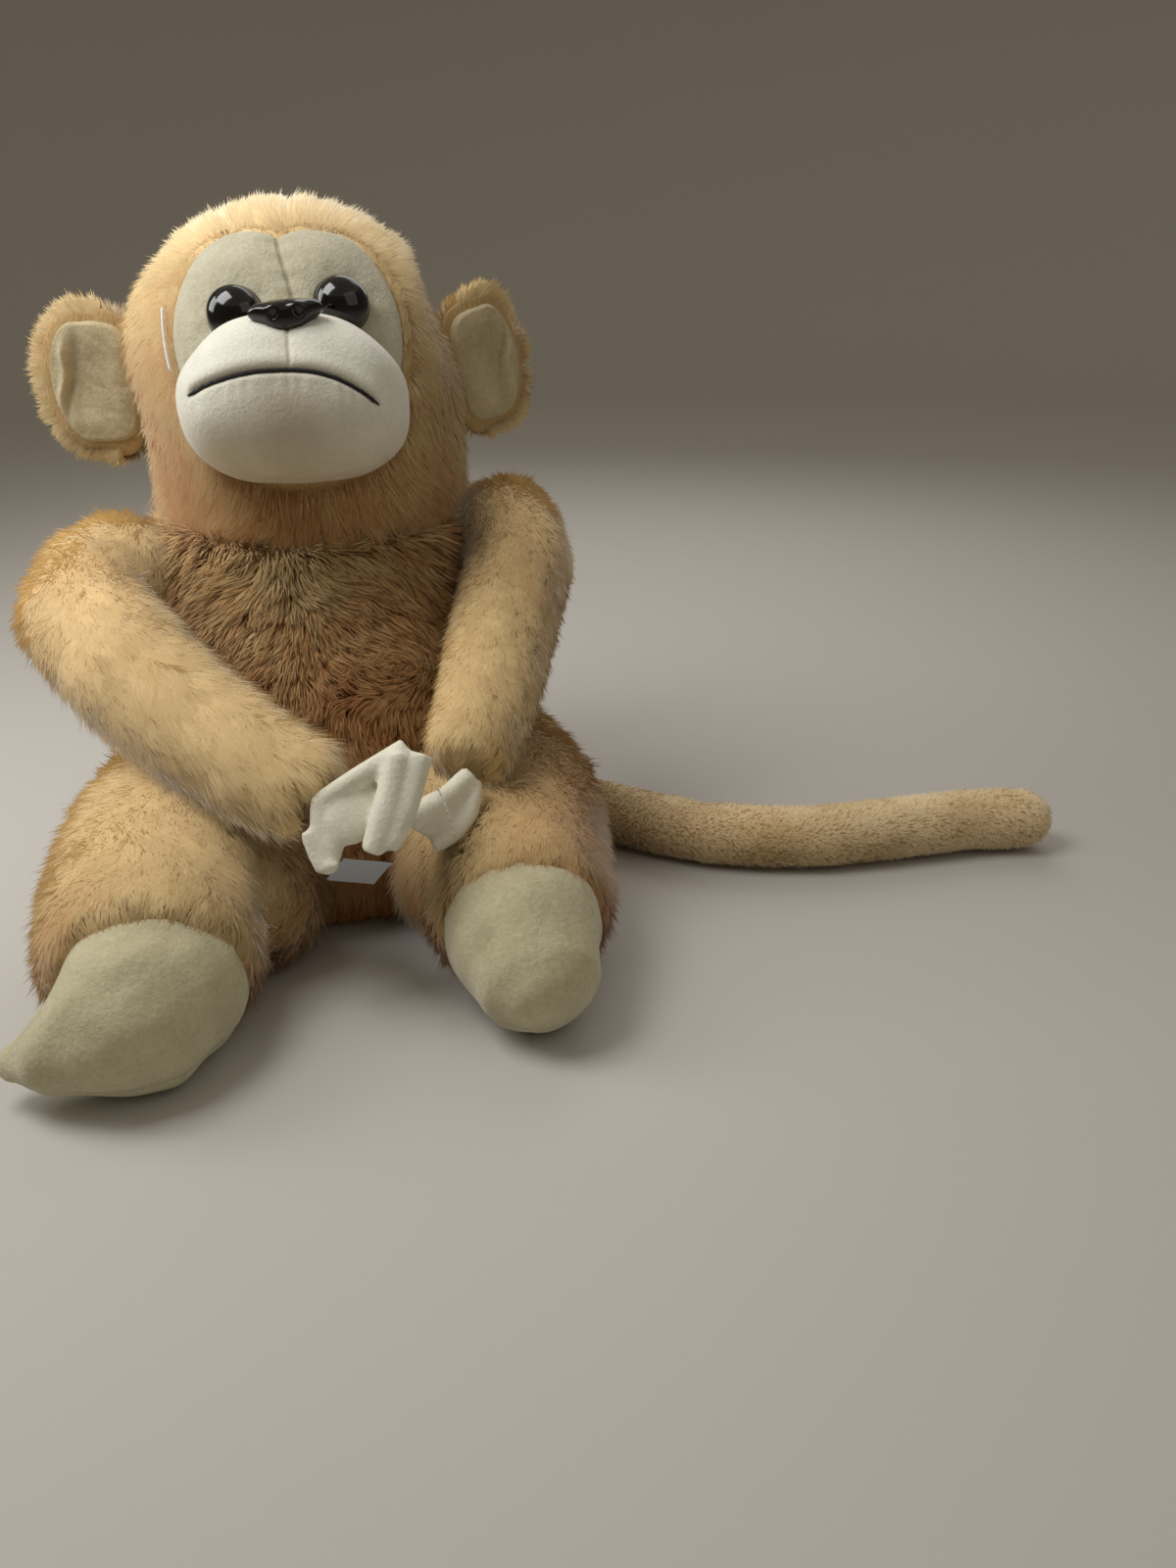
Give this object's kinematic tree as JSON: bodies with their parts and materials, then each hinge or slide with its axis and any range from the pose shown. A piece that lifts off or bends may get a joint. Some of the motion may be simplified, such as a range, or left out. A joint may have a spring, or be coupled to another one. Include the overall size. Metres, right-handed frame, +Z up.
{
  "type": "stuffed monkey",
  "caption": "Seated plush monkey with folded arms, a velvet face with glossy eyes and nose, stuffed legs and a long tail.",
  "frame": {"origin": "middle of the flat seat, on the surface that the monkey sits on", "axes": "+Z up; the monkey faces -Y, so its left is +X, the side that the tail lies on"},
  "size_m": [0.3571, 0.2281, 0.2237],
  "materials": {
    "body_fur": "medium-pile plush fur, orange-tan",
    "arm_fur": "longer plush fur, pale tan",
    "tail_pile": "short plush pile, beige",
    "ear_fur": "medium-pile plush fur, golden",
    "face_pile": "short velvet pile, greyish beige",
    "muzzle_pile": "short velvet pile, off-white",
    "hand_and_foot_pile": "short velvet pile, cream",
    "stuffing": "loose white polyester fibre",
    "black_gloss": "moulded and polished",
    "washer_plastic": "moulded natural white",
    "mouth_thread": "twisted black embroidery thread",
    "label_ribbon": "thin woven satin ribbon, blank",
    "clear_filament": "clear nylon",
    "cream_thread": "loose cotton sewing thread"
  },
  "bodies": {
    "torso": {"torso_front_panel": "body_fur", "torso_back_left_panel": "body_fur", "torso_back_right_panel": "body_fur", "seat_panel": "body_fur", "torso_stuffing": "stuffing", "blank_label": "label_ribbon"},
    "neck": {"neck_stuffing": "stuffing"},
    "head": {"head_panel_left": "body_fur", "head_panel_right": "body_fur", "face_panel_left": "face_pile", "face_panel_right": "face_pile", "muzzle_upper_left": "muzzle_pile", "muzzle_upper_right": "muzzle_pile", "chin_panel": "muzzle_pile", "mouth_stitch": "mouth_thread", "eye_left": "black_gloss", "eye_right": "black_gloss", "eye_washer_left": "washer_plastic", "eye_washer_right": "washer_plastic", "nose": "black_gloss", "nose_washer": "washer_plastic", "head_stuffing": "stuffing", "tag_filament": "clear_filament"},
    "ear_right": {"ear_back_right": "ear_fur", "ear_front_right": "muzzle_pile"},
    "ear_left": {"ear_back_left": "ear_fur", "ear_front_left": "muzzle_pile"},
    "arm_right": {"sleeve_right": "arm_fur", "arm_stuffing_right": "stuffing", "hand_back_right": "hand_and_foot_pile", "hand_palm_right": "hand_and_foot_pile", "loose_thread": "cream_thread"},
    "arm_left": {"sleeve_left": "arm_fur", "arm_stuffing_left": "stuffing", "hand_back_left": "hand_and_foot_pile", "hand_palm_left": "hand_and_foot_pile"},
    "leg_right": {"leg_cover_right": "body_fur", "leg_stuffing_right": "stuffing", "foot_upper_right": "hand_and_foot_pile", "foot_sole_right": "hand_and_foot_pile"},
    "leg_left": {"leg_cover_left": "body_fur", "leg_stuffing_left": "stuffing", "foot_upper_left": "hand_and_foot_pile", "foot_sole_left": "hand_and_foot_pile"},
    "tail_base": {"tail_cover_base": "tail_pile", "tail_stuffing_base": "stuffing"},
    "tail_end": {"tail_cover_end": "tail_pile", "tail_stuffing_end": "stuffing"}
  },
  "joints": [
    {"name": "neck_turn", "type": "hinge", "parent": "torso", "child": "neck", "pos_m": [0.002, 0.058, 0.171], "axis": [0, 0, 1], "range_deg": [-35, 35]},
    {"name": "head_nod", "type": "hinge", "parent": "neck", "child": "head", "pos_m": [0.002, 0.058, 0.171], "axis": [1, 0, 0], "range_deg": [-14, 8]},
    {"name": "ear_flex_right", "type": "hinge", "parent": "head", "child": "ear_right", "pos_m": [-0.05526, 0.06021, 0.173], "axis": [0, 0, -1], "range_deg": [-25, 20]},
    {"name": "ear_flex_left", "type": "hinge", "parent": "head", "child": "ear_left", "pos_m": [0.05744, 0.05775, 0.173], "axis": [0, 0, 1], "range_deg": [-25, 20]},
    {"name": "shoulder_right", "type": "hinge", "parent": "torso", "child": "arm_right", "pos_m": [-0.064, 0.038, 0.112], "axis": [-0.7433, 0, -0.669], "range_deg": [0, 70]},
    {"name": "shoulder_left", "type": "hinge", "parent": "torso", "child": "arm_left", "pos_m": [0.067, 0.036, 0.119], "axis": [-0.5413, -0.2952, 0.7873], "range_deg": [0, 65]},
    {"name": "hip_right", "type": "hinge", "parent": "torso", "child": "leg_right", "pos_m": [-0.044, 0.002, 0.034], "axis": [0, 0, -1], "range_deg": [-4, 28]},
    {"name": "hip_left", "type": "hinge", "parent": "torso", "child": "leg_left", "pos_m": [0.044, 0.002, 0.034], "axis": [0, 0, 1], "range_deg": [-4, 28]},
    {"name": "tail_swing", "type": "hinge", "parent": "torso", "child": "tail_base", "pos_m": [0.034, 0.046, 0.016], "axis": [0, 0, 1], "range_deg": [0, 50]},
    {"name": "tail_bend", "type": "hinge", "parent": "tail_base", "child": "tail_end", "pos_m": [0.128, -0.016, 0.012], "axis": [0, 0, 1], "range_deg": [-35, 35]}
  ]
}
